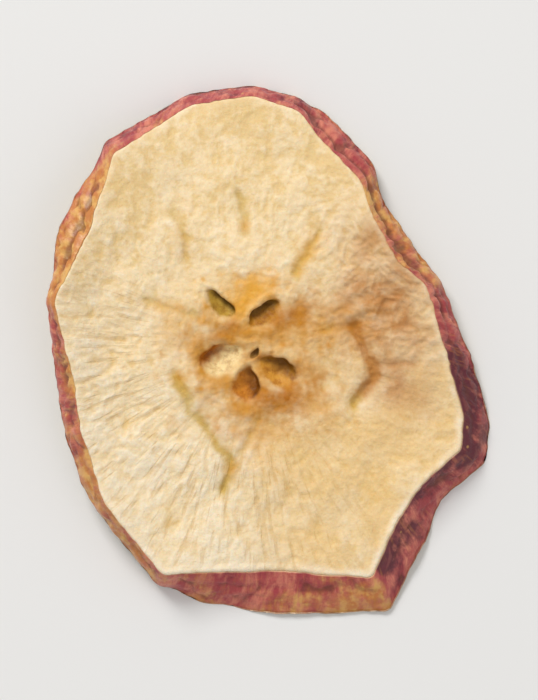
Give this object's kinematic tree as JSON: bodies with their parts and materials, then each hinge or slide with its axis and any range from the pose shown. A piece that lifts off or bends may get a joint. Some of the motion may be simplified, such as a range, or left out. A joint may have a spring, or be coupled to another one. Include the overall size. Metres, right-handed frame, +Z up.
{
  "type": "dried apple ring",
  "caption": "Dried crosswise slice of apple with its peel on: a thin, warped web of pale flesh with a star of seed pockets at the core and a leathery red peel band.",
  "frame": {"origin": "under the middle of the slice, on the surface that it lies on", "axes": "+Z up out of the shown cut face, +Y along the slice's longest way, away from the viewer, +X to the right"},
  "size_m": [0.057, 0.0686, 0.0105],
  "materials": {
    "dried_apple": "matt cream flesh with ochre stains round the core, satin red-brown peel"
  },
  "bodies": {
    "root": {"apple_ring": "dried_apple"}
  },
  "joints": []
}
